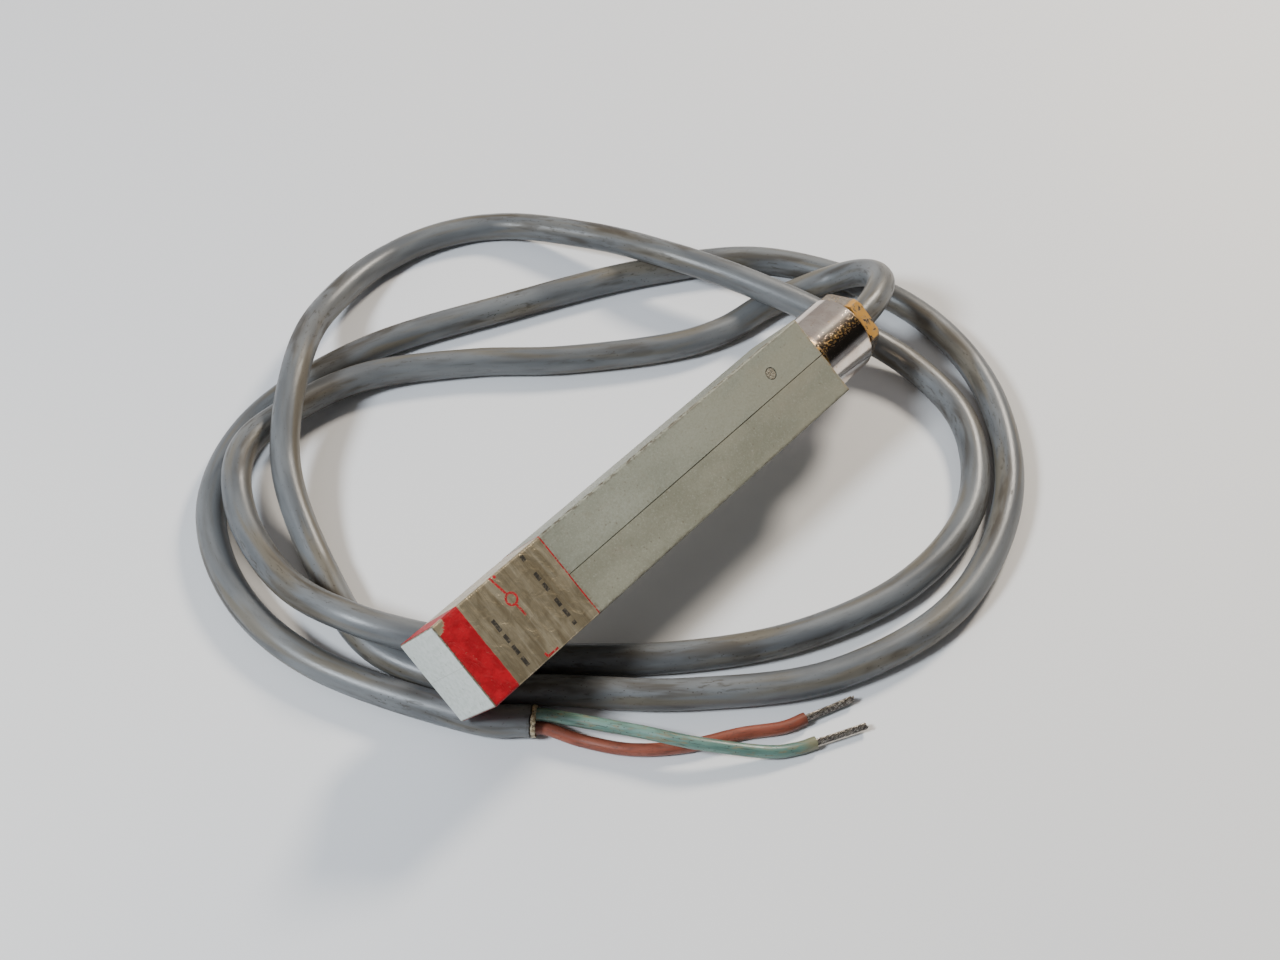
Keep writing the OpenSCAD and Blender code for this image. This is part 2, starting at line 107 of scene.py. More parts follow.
CABLE_ROUTE = [
    (0.1183, 0, 0), (0.122, 0, 0), (0.128, 0.001, -0.0003), (0.1348, 0.004, -0.002),
    (0.139, 0.0088, -0.0052), (0.14, 0.0144, -0.0092), (0.1376, 0.0198, -0.0131),
    (0.1322, 0.0241, -0.0156), (0.1243, 0.0268, -0.016), (0.1118, 0.029, -0.016),
    (0.0995, 0.0352, -0.016), (0.082, 0.0495, -0.016), (0.068, 0.064, -0.016),
    (0.051, 0.0765, -0.0152), (0.034, 0.0798, -0.0132), (0.0165, 0.077, -0.0106),
    (0.0052, 0.0644, -0.0112), (0, 0.046, -0.012), (0.0015, 0.028, -0.0094), (0.009, 0.013, -0.0108),
    (0.021, -0.001, -0.016), (0.038, -0.02, -0.016), (0.058, -0.035, -0.016), (0.082, -0.0435, -0.016),
    (0.106, -0.0415, -0.016), (0.124, -0.028, -0.016), (0.1302, -0.0096, -0.015),
    (0.1272, 0.0108, -0.0116), (0.1225, 0.0298, -0.0094), (0.1174, 0.049, -0.0092),
    (0.113, 0.07, -0.0126), (0.103, 0.0915, -0.016), (0.081, 0.1025, -0.016), (0.0572, 0.097, -0.012),
    (0.0365, 0.0825, -0.0059), (0.0192, 0.067, -0.0105), (0.0088, 0.046, -0.016),
    (0.0025, 0.024, -0.016), (0.0092, 0.0026, -0.016), (0.019, -0.0098, -0.016),
    (0.034, -0.028, -0.016), (0.056, -0.046, -0.016), (0.085, -0.0535, -0.016),
    (0.1155, -0.0445, -0.016), (0.1378, -0.0222, -0.016), (0.1458, 0.0055, -0.016),
    (0.1368, 0.0354, -0.016), (0.1152, 0.0542, -0.016), (0.086, 0.07, -0.016), (0.056, 0.0835, -0.016),
    (0.0275, 0.086, -0.016), (0.0058, 0.0755, -0.016), (-0.0068, 0.054, -0.016),
    (-0.008, 0.03, -0.016), (0.003, 0, -0.016), (0.0097, -0.0094, -0.016),
]
GREEN_ROUTE = [
    (0.0105, -0.009, -0.0151), (0.0127, -0.0117, -0.0151), (0.016, -0.018, -0.0148),
    (0.021, -0.027, -0.0146), (0.026, -0.0365, -0.0146), (0.034, -0.046, -0.017),
    (0.0386, -0.0496, -0.0178), (0.0422, -0.0516, -0.0178),
]
BROWN_ROUTE = [
    (0.0091, -0.0102, -0.0169), (0.0113, -0.0129, -0.017), (0.014, -0.019, -0.0178),
    (0.0185, -0.027, -0.0178), (0.0255, -0.034, -0.0178), (0.0345, -0.04, -0.0178),
    (0.0406, -0.0449, -0.0178), (0.045, -0.0469, -0.0178),
]


def between(p, q, r, s, t):
    """The point of a smooth curve at t from 0 to 1 between q and r."""
    return 0.5 * (
        2 * q + (r - p) * t + (2 * p - 5 * q + 4 * r - s) * t * t + (3 * q - p - 3 * r + s) * t**3
    )


def sample(route, per_span, low):
    """The smooth curve through a route's points, never under the lowest allowed height."""
    pts = [Vector(p) for p in route]
    pts = [2 * pts[0] - pts[1]] + pts + [2 * pts[-1] - pts[-2]]
    out = []
    for i in range(1, len(pts) - 2):
        for k in range(per_span):
            out.append(between(pts[i - 1], pts[i], pts[i + 1], pts[i + 2], k / per_span))
    out.append(pts[-2].copy())
    for p in out:
        p.z = max(p.z, low)
    return out


def path_length(path):
    return sum((b - a).length for a, b in zip(path, path[1:]))


def frames(path):
    """The direction of travel at each point, and the side and up directions square to it."""
    out = []
    for i in range(len(path)):
        d = path[min(i + 1, len(path) - 1)] - path[max(i - 1, 0)]
        d.normalize()
        side = d.cross(Vector((0, 0, 1))).normalized()
        out.append((d, side, side.cross(d)))
    return out


def new_object(name, bm, body):
    """A piece from a bmesh: smooth, but sharp where its faces meet at more than 50 degrees."""
    sharp_from = math.radians(50)
    for edge in bm.edges:
        if len(edge.link_faces) == 2 and edge.calc_face_angle() > sharp_from:
            edge.smooth = False
    mesh = bpy.data.meshes.new(name)
    bm.to_mesh(mesh)
    bm.free()
    for poly in mesh.polygons:
        poly.use_smooth = True
    obj = bpy.data.objects.new(name, mesh)
    scene.collection.objects.link(obj)
    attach(obj, body)
    return obj


def bridge(bm, rings):
    """Faces from each ring of points to the next."""
    for r0, r1 in zip(rings, rings[1:]):
        for j in range(len(r0)):
            k = (j + 1) % len(r0)
            bm.faces.new((r0[j], r0[k], r1[k], r1[j]))


def tube(bm, path, radius, sides, shape=None, layer=None):
    """A closed tube along a path. shape(run, angle) scales the radius; layer keeps the place on it."""
    rings = []
    run = 0.0
    for i, (p, (_, side, up)) in enumerate(zip(path, frames(path))):
        if i:
            run += (p - path[i - 1]).length
        ring = []
        for j in range(sides):
            a = 2 * math.pi * j / sides
            r = radius * (shape(run, a) if shape else 1.0)
            v = bm.verts.new(p + r * (math.cos(a) * side + math.sin(a) * up))
            if layer:
                v[layer] = Vector((run, radius * math.cos(a), radius * math.sin(a))) / MM
            ring.append(v)
        rings.append(ring)
    bridge(bm, rings)
    bm.faces.new(list(reversed(rings[0])))
    bm.faces.new(rings[-1])
    bmesh.ops.recalc_face_normals(bm, faces=bm.faces[:])


# ---- cable and cores ----

def sheath_shape(run, angle):
    """Soft PVC: never quite round, a little flatter here and there."""
    wave = noise.noise(Vector((run * 40, math.cos(angle) * 0.8, math.sin(angle) * 0.8)))
    fine = noise.noise(Vector((run * 300, math.cos(angle) * 2, math.sin(angle) * 2)))
    return 0.985 + 0.012 * wave + 0.003 * fine


def keep_in_box(path, radius, reach=0.012):
    """Eases the outermost bends in by the fraction of a millimetre that keeps them in the CAD box."""
    for axis in (0, 1):
        for sign, limit in ((1, cad_hi[axis]), (-1, -cad_lo[axis])):
            most = max(sign * p[axis] for p in path)
            beyond = most + radius - limit
            if beyond <= 0:
                continue
            for p in path:
                into = (sign * p[axis] - (most - reach)) / reach
                if into > 0:
                    p[axis] -= sign * beyond * into * into
    return path


def make_sheath():
    bm = bmesh.new()
    along = bm.verts.layers.float_vector.new("along")
    tube(bm, cable_path, CABLE_R, 28, sheath_shape, along)
    return new_object("cable_sheath_skin", bm, "sensor")


def ring_profile(angle, crack_shift, ragged, fine):
    """The ring's outline at one angle, as places along it and radii: sheath, crack, then a lip."""
    crack = CUT_AT + crack_shift
    skin = CABLE_R * sheath_shape(cable_length, angle)
    tongue = 0.0002 * max(0.0, math.cos(angle - math.radians(80))) ** 8
    lip = min(skin + 0.00003 + 0.00005 * (1 + fine) + tongue, CABLE_R + tongue)
    far = RING_LEN - 0.00012 * (1 + fine + ragged)
    return [
        (0.0, RING_HOLE_R), (0.0, skin), (crack - 0.0003, skin), (crack - 0.00014, skin - 0.00004),
        (crack - 0.00005, skin - 0.0003), (crack + 0.00003, skin - 0.0003),
        (crack + 0.0001, lip - 0.00005), (crack + 0.0002, lip), (far - 0.0001, lip - 0.00006),
        (far, lip - 0.0002), (far - 0.00003, RING_HOLE_R + 0.0001), (far - 0.0002, RING_HOLE_R),
    ]


def make_end_ring():
    """The cut end: sheath up to a wavy crack, then a thin ragged lip."""
    bm = bmesh.new()
    along = bm.verts.layers.float_vector.new("along")
    end = cable_path[-1]
    d, side, up = frames(cable_path)[-1]
    sides = 84
    outlines = []
    for j in range(sides):
        a = 2 * math.pi * j / sides
        ragged = noise.noise(Vector((math.cos(a) * 1.7, math.sin(a) * 1.7, 3.1)))
        fine = noise.noise(Vector((math.cos(a) * 4.2, math.sin(a) * 4.2, 8.4)))
        shift = 0.00028 * ragged + 0.0002 * fine
        outline = []
        for x, r in ring_profile(a, shift, ragged, fine):
            co = end + d * x + r * (math.cos(a) * side + math.sin(a) * up)
            co.z = max(co.z, FLOOR_Z + 0.00002)
            v = bm.verts.new(co)
            v[along] = Vector((cable_length + x - shift, r * math.cos(a), r * math.sin(a))) / MM
            outline.append(v)
        outlines.append(outline)
    bridge(bm, outlines + outlines[:1])
    bmesh.ops.recalc_face_normals(bm, faces=bm.faces[:])
    return new_object("sheath_end_ring", bm, "sensor")


cable_path = keep_in_box(sample(CABLE_ROUTE, 16, REST_Z), CABLE_R)
cable_length = path_length(cable_path)
sheath = make_sheath()
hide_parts("cable_sheath")
sheath_end = make_end_ring()
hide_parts("sheath_end")


def strand_bundle(name, path, phase):
    """Nineteen thin wires, slightly uneven at their tips: one, then six and twelve twisted round it."""
    end = path[-1]
    d = (path[-1] - path[-2]).normalized()
    side = d.cross(Vector((0, 0, 1))).normalized()
    up = side.cross(d)
    steps = 32
    bm = bmesh.new()
    for layer, (count, radius) in enumerate([(1, 0.0), (6, 0.00028), (12, 0.00053)]):
        for w in range(count):
            tip = STRAND_L - 0.0001 * ((w * 5 + 3 * layer + phase) % 6)
            line = []
            for i in range(steps + 1):
                t = i / steps
                x = -STRAND_ROOT + (tip + STRAND_ROOT) * t
                a = math.radians(360 * w / count + 40 * phase + 330 * t)
                r = radius + 0.00002 * noise.noise(Vector((x * 700, w * 3.7, phase + layer)))
                bend = -0.00012 * t * t
                line.append(end + d * x + (r * math.cos(a) + bend) * side + r * math.sin(a) * up)
            tube(bm, line, WIRE_R, 8)
    return new_object(name, bm, "sensor")


def core(name, route, strand_node, phase):
    """A core's insulation and its bare wires. name is also the core's CAD node."""
    path = sample(route, 12, CORE_REST_Z)
    bm = bmesh.new()
    along = bm.verts.layers.float_vector.new("along")

    def shape(run, a):
        return 0.985 + 0.012 * noise.noise(Vector((run * 120 + phase, math.cos(a), math.sin(a))))

    tube(bm, path, CORE_R, 24, shape, along)
    obj = new_object(name + "_skin", bm, "sensor")
    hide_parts(name)
    wires = strand_bundle(name + "_wires", path, phase)
    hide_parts(strand_node)
    return obj, wires


core_green, wires_green = core("core_green", GREEN_ROUTE, "strands_green", 1)
core_brown, wires_brown = core("core_brown", BROWN_ROUTE, "strands_brown", 2)


# ---- label and fill plug ----

def rolled(x, y, z):
    """A point of the bar's level frame, in millimetres, as a point of the row frame in metres."""
    c, s = math.cos(ROLL), math.sin(ROLL)
    return Vector((x, y * c - z * s, y * s + z * c)) * MM


def square_loop(half, radius, step):
    """Points and outward directions round a rounded square, in millimetres."""
    out = []
    flat = half - radius
    on_side = max(2, round(2 * flat / step))
    on_corner = 6
    for quarter in range(4):
        turn = math.pi / 2 * quarter
        c, s = math.cos(turn), math.sin(turn)
        for i in range(on_side):
            u = -flat + 2 * flat * i / on_side
            out.append(((half * c - u * s, half * s + u * c), (c, s)))
        cx, cy = flat * (c - s), flat * (s + c)
        for i in range(on_corner):
            b = turn + math.pi / 2 * i / on_corner
            ny, nz = math.cos(b), math.sin(b)
            out.append(((cx + radius * ny, cy + radius * nz), (ny, nz)))
    return out


def crease(x, y, cx, cy, length, angle, width):
    """The depth, from 0 to 1, of a soft, slightly wavy crease round a point of the top face."""
    dx, dy = x - cx, y - cy
    u = dx * math.cos(angle) + dy * math.sin(angle)
    v = -dx * math.sin(angle) + dy * math.cos(angle)
    v += 0.25 * math.sin(u * 1.3 + cx)
    return math.exp(-((v / width) ** 2)) * math.exp(-((u / length) ** 4))


# Creases of the label's top: depth, place along and across, half length, angle in radians, width
CREASES = (
    (0.05, 16.0, 2.2, 2.4, 0.5, 0.5),
    (0.05, 15.2, -5.0, 3.4, 1.2, 0.45),
    (0.04, 18.4, -3.6, 2.6, 0.2, 0.4),
    (0.04, 9.6, 5.8, 2.4, 2.2, 0.4),
    (0.035, 23.8, 3.0, 2.8, 1.9, 0.45),
    (0.03, 3.4, -2.0, 2.6, 0.9, 0.5),
)


def dent_depth(x, y, z):
    """How far the foil is pressed in at a place, in millimetres."""
    p = Vector((x, y, z))
    d = 0.022 * (1 + noise.noise(p * 0.30))
    d += 0.012 * (1 + noise.noise(p * 0.85 + Vector((5, 1, 2))))
    if z >= 8.5:  # on the top face
        for depth, cx, cy, length, angle, width in CREASES:
            d += depth * crease(x, y, cx, cy, length, angle, width)
    return min(d, 0.1)


def make_label():
    """The foil: a dented outer skin round all four sides, and a plain inner face."""
    bm = bmesh.new()
    loop = square_loop(CASING_HALF, EDGE_R, 0.35)
    steps = 90
    rim_l = 0.5  # over this length the dents grow from a quarter to their full depth
    outer = []
    for i in range(steps + 1):
        x = LABEL_FROM + (LABEL_TO - LABEL_FROM) * i / steps
        grown = max(0.25, min(1.0, (x - LABEL_FROM) / rim_l, (LABEL_TO - x) / rim_l))
        ring = []
        for (y, z), (ny, nz) in loop:
            d = 0.005 + dent_depth(x, y, z) * grown
            ring.append(bm.verts.new(rolled(x, y - d * ny, z - d * nz)))
        outer.append(ring)
    front, rear = [
        [bm.verts.new(rolled(x, y - LABEL_DEEP * ny, z - LABEL_DEEP * nz)) for (y, z), (ny, nz) in loop]
        for x in (LABEL_FROM, LABEL_TO)
    ]
    bridge(bm, [front] + outer + [rear, front])
    bmesh.ops.recalc_face_normals(bm, faces=bm.faces[:])
    obj = new_object("foil_label_skin", bm, "sensor")
    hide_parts("foil_label")
    return obj


def make_plug():
    """Cast resin in the filling hole, with a rough, slightly sunken top."""
    bm = bmesh.new()
    steps = 12
    sides = 48
    rings = []
    for i in range(1, steps + 1):
        ring = []
        for j in range(sides):
            a = 2 * math.pi * j / sides
            x = PLUG_X + PLUG_R * i / steps * math.cos(a)
            y = PLUG_Y + PLUG_R * i / steps * math.sin(a)
            rough = 0.12 * noise.noise(Vector((x * 2.2, y * 2.2, 1)))
            rough += 0.07 * noise.noise(Vector((x * 6, y * 6, 4)))
            sunk = 0.12 * (i / steps) ** 6
            ring.append(bm.verts.new(rolled(x, y, min(PLUG_TOP + rough - sunk, 8.99))))
        rings.append(ring)
    foot = []
    for j in range(sides):
        a = 2 * math.pi * j / sides
        x, y = PLUG_X + PLUG_R * math.cos(a), PLUG_Y + PLUG_R * math.sin(a)
        foot.append(bm.verts.new(rolled(x, y, PLUG_FOOT)))
    rings.append(foot)
    centre = bm.verts.new(rolled(PLUG_X, PLUG_Y, PLUG_TOP - 0.1))
    for j in range(sides):
        bm.faces.new((centre, rings[0][j], rings[0][(j + 1) % sides]))
    bridge(bm, rings)
    bm.faces.new(foot)
    bmesh.ops.recalc_face_normals(bm, faces=bm.faces[:])
    obj = new_object("fill_plug_rough", bm, "sensor")
    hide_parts("fill_plug")
    return obj


label = make_label()
plug = make_plug()


# ---- materials ----

def srgb(r, g, b):
    """A colour given as 0 to 255 on the screen's scale, as the linear one that nodes take."""
    def lin(v):
        v /= 255
        return v / 12.92 if v <= 0.04045 else ((v + 0.055) / 1.055) ** 2.4
    return (lin(r), lin(g), lin(b), 1.0)


class Material:
    """A Principled material with a few helpers for its procedural nodes."""

    def __init__(self, name, place="level", **sockets):
        self.mat = bpy.data.materials.new(name)
        self.mat.use_nodes = True
        self.tree = self.mat.node_tree
        self.tree.nodes.clear()
        out = self.tree.nodes.new("ShaderNodeOutputMaterial")
        self.bsdf = self.tree.nodes.new("ShaderNodeBsdfPrincipled")
        self.tree.links.new(self.bsdf.outputs[0], out.inputs["Surface"])
        for key, value in sockets.items():
            self.bsdf.inputs[key.replace("_", " ")].default_value = value
        if place == "level":
            tex = self.tree.nodes.new("ShaderNodeTexCoord")
            turn = self.tree.nodes.new("ShaderNodeMapping")
            turn.inputs["Scale"].default_value = (1000, 1000, 1000)
            turn.inputs["Rotation"].default_value = (-ROLL, 0, 0)
            self.tree.links.new(tex.outputs["Object"], turn.inputs["Vector"])
            self.place = turn.outputs[0]
        else:
            attr = self.tree.nodes.new("ShaderNodeAttribute")
            attr.attribute_name = "along"
            self.place = attr.outputs["Vector"]
        parts = self.tree.nodes.new("ShaderNodeSeparateXYZ")
        self.tree.links.new(self.place, parts.inputs[0])
        self.x, self.y, self.z = parts.outputs[0], parts.outputs[1], parts.outputs[2]

    def put(self, value, socket):
        """Links a socket's value, or sets a plain one."""
        if isinstance(value, bpy.types.NodeSocket):
            self.tree.links.new(value, socket)
        else:
            socket.default_value = value

    def set(self, name, value):
        """Gives one of the shader's inputs its value."""
        self.put(value, self.bsdf.inputs[name])

    def math(self, op, a, b=0.0):
        n = self.tree.nodes.new("ShaderNodeMath")
        n.operation = op
        self.put(a, n.inputs[0])
        self.put(b, n.inputs[1])
        return n.outputs[0]

    def most(self, *values):
        """The largest of several values."""
        out = values[0]
        for v in values[1:]:
            out = self.math("MAXIMUM", out, v)
        return out

    def product(self, *values):
        out = values[0]
        for v in values[1:]:
            out = self.math("MULTIPLY", out, v)
        return out

    def stretch(self, scale, offset=(0, 0, 0)):
        """The place, scaled by one number or by three, then moved."""
        scale = scale if isinstance(scale, tuple) else (scale, scale, scale)
        n = self.tree.nodes.new("ShaderNodeMapping")
        n.inputs["Scale"].default_value = scale
        n.inputs["Location"].default_value = offset
        self.tree.links.new(self.place, n.inputs["Vector"])
        return n.outputs[0]

    def noise(self, scale, detail=3.0, rough=0.55, offset=(0, 0, 0), distort=0.0):
        n = self.tree.nodes.new("ShaderNodeTexNoise")
        n.inputs["Scale"].default_value = 1.0
        n.inputs["Detail"].default_value = detail
        n.inputs["Roughness"].default_value = rough
        n.inputs["Distortion"].default_value = distort
        self.tree.links.new(self.stretch(scale, offset), n.inputs["Vector"])
        return n.outputs[0]

    def spots(self, scale, offset=(0, 0, 0)):
        """The distance to the nearest of scattered points."""
        n = self.tree.nodes.new("ShaderNodeTexVoronoi")
        n.inputs["Scale"].default_value = 1.0
        self.tree.links.new(self.stretch(scale, offset), n.inputs["Vector"])
        return n.outputs["Distance"]

    def range(self, value, low, high, out_low=0.0, out_high=1.0):
        """Turns value smoothly from out_low at low into out_high at high. low may be the larger."""
        n = self.tree.nodes.new("ShaderNodeMapRange")
        n.interpolation_type = "SMOOTHSTEP"
        if low > high:
            low, high, out_low, out_high = high, low, out_high, out_low
        self.put(value, n.inputs["Value"])
        n.inputs["From Min"].default_value = low
        n.inputs["From Max"].default_value = high
        n.inputs["To Min"].default_value = out_low
        n.inputs["To Max"].default_value = out_high
        return n.outputs[0]

    def window(self, value, low, high, soft=0.1):
        """1 where value lies from low to high."""
        past_low = self.range(value, low - soft, low + soft)
        return self.product(past_low, self.range(value, high + soft, high - soft))

    def mix(self, fac, a, b):
        """Colour a where fac is 0, colour b where it is 1."""
        n = self.tree.nodes.new("ShaderNodeMix")
        n.data_type = "RGBA"
        self.put(fac, n.inputs[0])
        self.put(a, n.inputs[6])
        self.put(b, n.inputs[7])
        return n.outputs[2]

    def distance(self, cx, cy):
        """Distance on the top face from a point."""
        dx = self.math("SUBTRACT", self.x, cx)
        dy = self.math("SUBTRACT", self.y, cy)
        return self.math("SQRT", self.math("ADD", self.product(dx, dx), self.product(dy, dy)))

    def line(self, a, b, width):
        """1 on a straight line drawn on the top face from a to b."""
        length = math.hypot(b[0] - a[0], b[1] - a[1])
        ux, uy = (b[0] - a[0]) / length, (b[1] - a[1]) / length
        dx = self.math("SUBTRACT", self.x, a[0])
        dy = self.math("SUBTRACT", self.y, a[1])
        run = self.math("ADD", self.product(dx, ux), self.product(dy, uy))
        off = self.math("ABSOLUTE", self.math("SUBTRACT", self.product(dx, uy), self.product(dy, ux)))
        return self.product(
            self.range(off, width / 2 + 0.05, width / 2 - 0.05), self.window(run, 0.0, length, 0.05)
        )

    def bump(self, height, distance, strength=1.0):
        n = self.tree.nodes.new("ShaderNodeBump")
        n.inputs["Strength"].default_value = strength
        n.inputs["Distance"].default_value = distance
        self.put(height, n.inputs["Height"])
        self.tree.links.new(n.outputs[0], self.bsdf.inputs["Normal"])


def cut_end_colour(m, base, cut):
    """Beige past the cut, with painted shade making the crack dark, and spots of dirt ahead of it."""
    beige = m.mix(m.range(m.noise(1.6, 3), 0.4, 0.6), srgb(128, 112, 84), srgb(178, 164, 134))
    base = m.mix(m.range(m.x, cut - 0.05, cut + 0.1), base, beige)
    # Painted shade: the crack is coloured near black where shade falls into it.
    painted_crack_shade = m.window(m.x, cut - 0.22, cut + 0.06, 0.1)
    base = m.mix(painted_crack_shade, base, srgb(34, 28, 22))
    spot = m.range(m.noise(2.2, 3, offset=(2, 8, 1)), 0.52, 0.62)
    return m.mix(m.product(spot, m.range(m.x, cut - 1.2, cut), 0.8), base, srgb(64, 50, 38))


def sheath_material(name, place="along", cut=None):
    """Grey PVC, soiled along its length. cut is where its cut end turns beige, in millimetres."""
    m = Material(name, place)
    m.set("Specular IOR Level", 0.38)
    tone = m.noise((0.05, 0.25, 0.25), 2)
    base = m.mix(m.range(tone, 0.35, 0.65), srgb(84, 86, 88), srgb(102, 104, 105))
    warm = m.noise((0.03, 0.3, 0.3), 2, offset=(40, 3, 9))
    base = m.mix(m.range(warm, 0.48, 0.66, 0.0, 0.65), base, srgb(98, 89, 72))
    # Broad soft smudges lie along the cable, darkest in patches a few centimetres long
    patch = m.range(m.noise((0.03, 0.22, 0.22), 2, offset=(7, 7, 7)), 0.42, 0.6)
    broad = m.range(m.noise((0.07, 0.35, 0.35), 3, 0.5, offset=(31, 2, 0), distort=0.3), 0.45, 0.64)
    smear = m.range(m.noise((0.3, 1.3, 1.3), 4, 0.65, offset=(3, 0, 0), distort=0.4), 0.52, 0.68)
    streak = m.range(m.noise((0.10, 2.4, 2.4), 3, 0.6, offset=(90, 0, 0)), 0.58, 0.7)
    dirt = m.most(
        m.product(patch, broad, 0.9), m.product(patch, smear, 0.8), m.product(broad, streak, 0.6),
        m.product(smear, 0.15),
    )
    base = m.mix(m.product(dirt, 0.8), base, srgb(50, 42, 31))
    fleck = m.range(m.spots((0.8, 1.3, 1.3)), 0.16, 0.1)
    base = m.mix(m.product(fleck, m.range(patch, 0, 1, 0.2, 0.8)), base, srgb(50, 40, 32))
    if cut is not None:
        base = cut_end_colour(m, base, cut)
    m.set("Base Color", base)
    m.set("Roughness", m.range(dirt, 0.0, 1.0, 0.36, 0.55))
    height = m.math("ADD", m.noise((0.8, 2.5, 2.5), 3), m.product(dirt, 0.3))
    m.bump(height, 0.00004, 0.6)
    return m.mat


def core_material(name, clean, pale, dirty, soil):
    """A core's insulation. soil is how dirty it is, from 0 to 1; it is dirtiest before its bare end."""
    m = Material(name, "along")
    tone = m.noise((0.15, 0.6, 0.6), 3)
    base = m.mix(m.range(tone, 0.35, 0.65), clean, pale)
    grime = m.range(m.noise((0.4, 1.6, 1.6), 4, 0.65, offset=(11, 2, 5)), 0.5, 0.66)
    base = m.mix(m.product(grime, soil), base, dirty)
    streak = m.range(m.noise((0.25, 3.0, 3.0), 4, 0.7, offset=(2, 8, 1)), 0.56, 0.66)
    base = m.mix(m.product(streak, soil, 0.9), base, srgb(48, 42, 34))
    fleck = m.range(m.spots((1.1, 1.6, 1.6)), 0.2, 0.12)
    base = m.mix(m.product(fleck, soil), base, srgb(44, 36, 30))
    base = m.mix(m.range(m.x, 50.5, 53.5, 0.0, 0.8), base, dirty)
    m.set("Base Color", base)
    m.set("Roughness", m.range(grime, 0, 1, 0.36, 0.55))
    m.bump(m.noise((1.0, 3.0, 3.0), 3), 0.00003, 0.6)
    return m.mat


def strand_material():
    """Dull tinned copper with bright flecks."""
    m = Material("mat_tinned_strands", "level", Metallic=1.0)
    tone = m.noise(1.6, 3)
    base = m.mix(m.range(tone, 0.4, 0.6), srgb(84, 80, 78), srgb(140, 134, 126))
    fleck = m.range(m.noise(4.0, 2, offset=(5, 5, 5)), 0.58, 0.66)
    base = m.mix(m.product(fleck, 0.8), base, srgb(225, 220, 210))
    m.set("Base Color", base)
    m.set("Roughness", m.range(tone, 0.4, 0.6, 0.5, 0.36))
    m.bump(m.noise(7.0, 2), 0.00003, 0.5)
    return m.mat


def casing_plastic(m, shade, cloud, mottled):
    """Old moulded plastic: clouded, stained and gritty, round a shade."""
    base = m.mix(m.range(cloud, 0.35, 0.65), srgb(*(v - 8 for v in shade)), srgb(*(v + 7 for v in shade)))
    stain = m.range(m.noise((0.09, 0.2, 0.2), 4, 0.6, offset=(12, 4, 4), distort=0.6), 0.55, 0.7)
    base = m.mix(m.product(stain, 0.4), base, srgb(128, 122, 106))
    base = m.mix(m.range(mottled, 0.5, 0.7, 0.0, 0.3), base, srgb(112, 107, 90))
    grit = m.noise(2.6, 3, 0.75, offset=(5, 5, 1))
    base = m.mix(m.range(grit, 0.5, 0.7, 0.0, 0.45), base, srgb(104, 100, 84))
    return m.mix(m.range(grit, 0.46, 0.3, 0.0, 0.35), base, srgb(160, 161, 149))


def casing_seams(m, base, mottled):
    """A pale, faintly cracked front face, the top's dark seam and a brown line ahead of the label."""
    front = m.range(m.x, 0.06, 0.02)
    side = m.math("ABSOLUTE", m.y)
    pale = m.mix(m.range(mottled, 0.4, 0.65), srgb(186, 190, 184), srgb(172, 177, 169))
    base = m.mix(front, base, pale)
    seam = m.product(m.range(side, 0.16, 0.06), m.range(m.z, 8.5, 8.8))
    base = m.mix(m.product(seam, m.range(m.x, 20.0, 90.0, 0.45, 0.95)), base, srgb(44, 36, 28))
    crack = m.product(m.range(side, 0.12, 0.04), front)
    base = m.mix(m.product(crack, 0.35), base, srgb(120, 116, 104))
    lip = m.window(m.x, 0.06, 0.5, 0.05)
    ragged = m.range(m.noise(1.4, 3, 0.6, offset=(6, 1, 1)), 0.4, 0.55)
    return m.mix(m.product(lip, ragged, 0.8), base, srgb(92, 76, 54))


def casing_edges(m, base, speck):
    """Dark wear in specks along the four long edges, most of it on the left one, with a few chips."""
    near = m.math("MINIMUM", m.math("ABSOLUTE", m.y), m.math("ABSOLUTE", m.z))
    rim = m.range(near, 7.9, 8.9)
    left_rim = m.product(rim, m.range(m.y, 8.0, 8.6), m.range(m.z, 8.0, 8.6))
    wear = m.product(m.most(m.product(rim, 0.6), left_rim), speck, 0.9)
    base = m.mix(wear, base, srgb(66, 57, 44))
    chip = m.range(m.noise(0.45, 3, 0.6, offset=(4, 2, 2)), 0.56, 0.62)
    return m.mix(m.product(m.range(near, 8.55, 8.9), chip, 0.7), base, srgb(52, 44, 34))


def casing_dirt(m, base, cloud, mottled, speck):
    """Scattered dirt, a dirty line behind the label, and yellowing towards the rear end."""
    dust = m.range(m.spots(0.55, offset=(3, 3, 3)), 0.13, 0.07)
    base = m.mix(m.product(dust, 0.55), base, srgb(92, 82, 68))
    tiny = m.range(m.spots(1.5, offset=(8, 1, 3)), 0.14, 0.08)
    base = m.mix(m.product(tiny, 0.3), base, srgb(104, 96, 82))
    behind_label = m.window(m.x, LABEL_TO, LABEL_TO + 0.6, 0.2)
    base = m.mix(m.product(behind_label, speck, 0.6), base, srgb(96, 84, 66))
    tired = m.product(m.range(m.x, 40.0, 100.0, 0.0, 0.5), m.range(cloud, 0.4, 0.6))
    base = m.mix(tired, base, srgb(122, 117, 98))
    at_rear = m.range(m.x, CASING_L - 1.1, CASING_L - 0.1)
    return m.mix(m.product(at_rear, m.range(mottled, 0.42, 0.6), 0.7), base, srgb(128, 104, 66))


